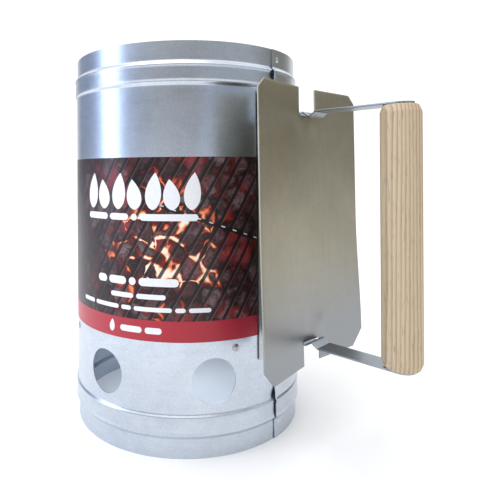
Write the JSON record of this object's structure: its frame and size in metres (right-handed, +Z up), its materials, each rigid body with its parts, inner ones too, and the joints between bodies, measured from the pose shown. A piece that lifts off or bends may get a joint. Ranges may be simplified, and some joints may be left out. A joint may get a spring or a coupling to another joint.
{
  "type": "chimney charcoal starter",
  "caption": "Galvanised sheet tube for lighting charcoal, with vents round its foot, a perforated grate inside, a bent heat shield, a flat strap handle and a wooden grip.",
  "frame": {"origin": "on the ground, under the middle of the whole object's box; the tube's axis stands 50.5 mm from it towards -X", "axes": "+X from the tube towards the grip, +Z up along the tube"},
  "size_m": [0.2838, 0.1828, 0.278],
  "materials": {
    "galvanised_shell": "galvanised, semi-bright, rolled grain",
    "printed_label": "printed, slight gloss",
    "grate_steel": "galvanised, dull",
    "strap_steel": "zinc plated, satin",
    "shield_steel": "galvanised, satin",
    "rivet_metal": "dull",
    "grip_wood": "turned, bare, straight grain",
    "plated_fastener": "zinc plated"
  },
  "bodies": {
    "starter": {"body_shell": "galvanised_shell", "label": "printed_label", "strap_backing_plate": "galvanised_shell", "charcoal_grate": "grate_steel", "grate_rivet_1": "rivet_metal", "grate_rivet_2": "rivet_metal", "grate_rivet_3": "rivet_metal", "grate_rivet_4": "rivet_metal", "handle_strap": "strap_steel", "heat_shield": "shield_steel", "strap_rivet_1": "rivet_metal", "strap_rivet_2": "rivet_metal", "strap_rivet_3": "rivet_metal"},
    "grip": {"wood_grip": "grip_wood", "grip_screw_top": "plated_fastener", "grip_screw_bottom": "plated_fastener"}
  },
  "joints": [
    {"name": "grip_turn", "type": "hinge", "parent": "starter", "child": "grip", "pos_m": [0.1305, 0, 0.15255], "axis": [0, 0, 1], "continuous": true}
  ]
}
